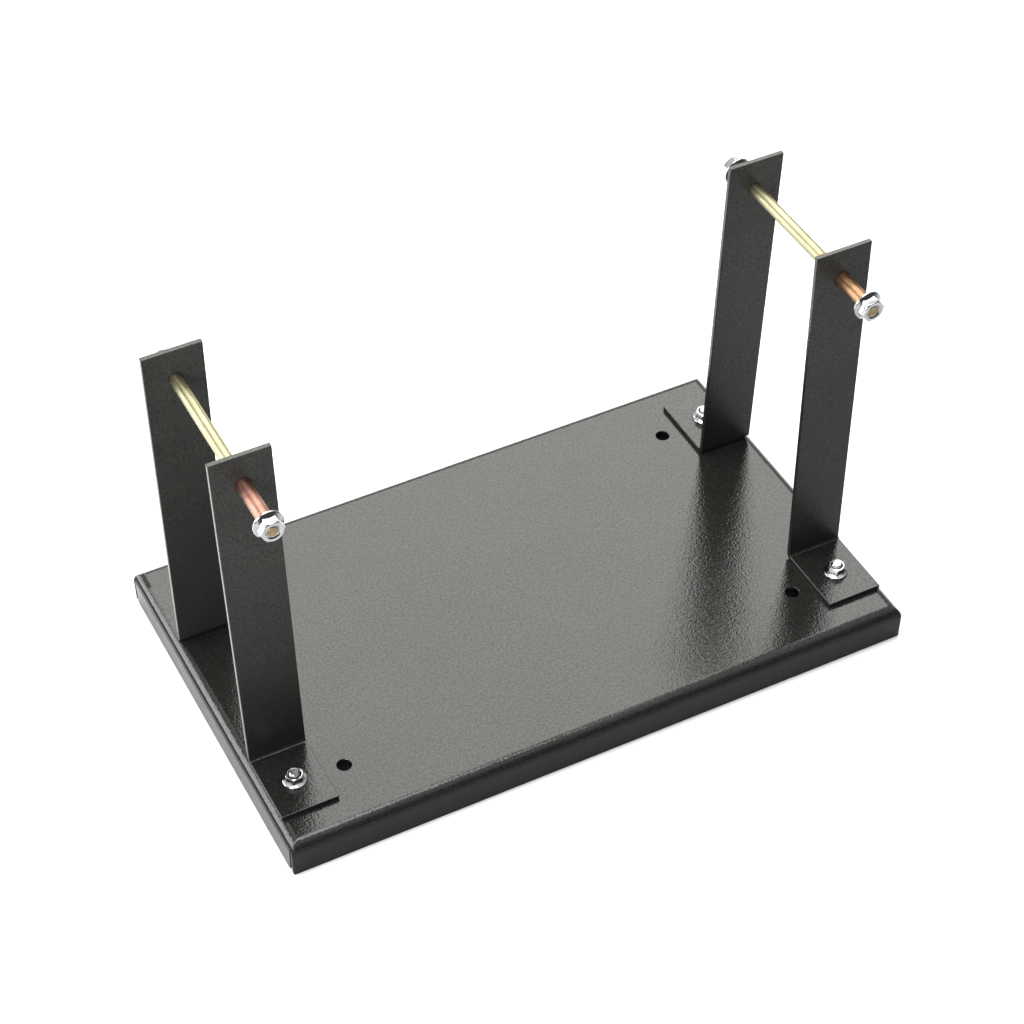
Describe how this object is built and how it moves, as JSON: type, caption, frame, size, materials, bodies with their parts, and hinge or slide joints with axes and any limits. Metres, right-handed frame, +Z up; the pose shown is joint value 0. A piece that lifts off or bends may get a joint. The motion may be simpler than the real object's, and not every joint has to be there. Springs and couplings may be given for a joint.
{
  "type": "spool holder stand",
  "caption": "Folded sheet-metal base with bent strip uprights that carry removable axles, for holding filament spools side by side over the base.",
  "frame": {"origin": "centre of the base footprint, in the plane the stand rests on", "axes": "+X along the long side of the base, +Z up; the front pair of uprights is at -Y"},
  "size_m": [0.33, 0.2, 0.2035],
  "materials": {
    "dark_coating": "dark grey powder coat with a fine hammered grain, semi gloss",
    "zinc": "bright clear zinc plate",
    "yellow_zinc": "yellow passivated zinc plate, smooth drawn rod",
    "copper": "smooth drawn copper tube, light handling marks"
  },
  "bodies": {
    "frame": {"base_pan": "dark_coating", "upright_front_left": "dark_coating", "upright_front_right": "dark_coating", "upright_back_left": "dark_coating", "upright_back_right": "dark_coating", "foot_bolt_front_left": "zinc", "foot_bolt_front_right": "zinc", "foot_bolt_back_left": "zinc", "foot_bolt_back_right": "zinc", "foot_nut_front_left": "zinc", "foot_nut_front_right": "zinc", "foot_nut_back_left": "zinc", "foot_nut_back_right": "zinc"},
    "left_sleeve": {"axle_sleeve_left": "copper"},
    "left_axle": {"axle_rod_left": "yellow_zinc", "axle_nut_back_left": "zinc"},
    "left_front_nut": {"axle_nut_front_left": "zinc"},
    "right_sleeve": {"axle_sleeve_right": "copper"},
    "right_axle": {"axle_rod_right": "yellow_zinc", "axle_nut_back_right": "zinc"},
    "right_front_nut": {"axle_nut_front_right": "zinc"}
  },
  "joints": [
    {"name": "left_axle_slide", "type": "slide", "parent": "frame", "child": "left_sleeve", "axis": [0, 1, 0], "range_m": [-0.0064, 0.0254]},
    {"name": "left_axle_spin", "type": "hinge", "parent": "left_sleeve", "child": "left_axle", "pos_m": [-0.1475, 0, 0.1875], "axis": [0, 1, 0], "continuous": true},
    {"name": "left_nut_off", "type": "slide", "parent": "left_axle", "child": "left_front_nut", "axis": [0, -1, 0], "range_m": [0, 0.03]},
    {"name": "right_axle_slide", "type": "slide", "parent": "frame", "child": "right_sleeve", "axis": [0, 1, 0], "range_m": [-0.0119, 0.0199]},
    {"name": "right_axle_spin", "type": "hinge", "parent": "right_sleeve", "child": "right_axle", "pos_m": [0.1475, 0, 0.1875], "axis": [0, 1, 0], "continuous": true},
    {"name": "right_nut_off", "type": "slide", "parent": "right_axle", "child": "right_front_nut", "axis": [0, -1, 0], "range_m": [0, 0.03]}
  ]
}
